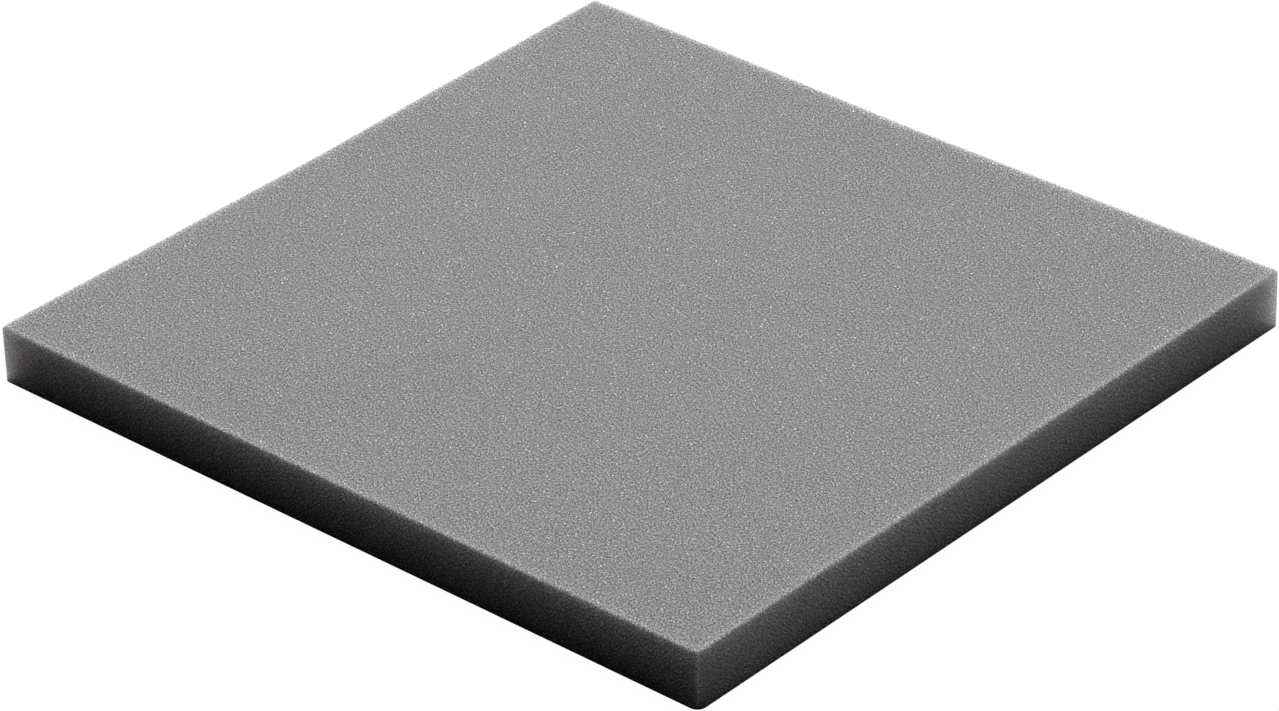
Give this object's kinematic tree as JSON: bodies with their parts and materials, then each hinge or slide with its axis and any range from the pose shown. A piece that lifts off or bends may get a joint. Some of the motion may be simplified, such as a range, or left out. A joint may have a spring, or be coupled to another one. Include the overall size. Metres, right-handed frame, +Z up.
{
  "type": "foam protector pad",
  "caption": "Flat, nearly square slab of soft grey open-cell foam with cut edges, used as a protector pad or insert.",
  "frame": {"origin": "middle of the lower face, on the surface that the slab lies on", "axes": "+X along the longer side, +Y along the shorter side, +Z up through the thickness"},
  "size_m": [0.3, 0.29, 0.021],
  "materials": {
    "foam": "matt open-cell polyurethane foam, cut surface with fine grain"
  },
  "bodies": {
    "root": {"foam_slab": "foam"}
  },
  "joints": []
}
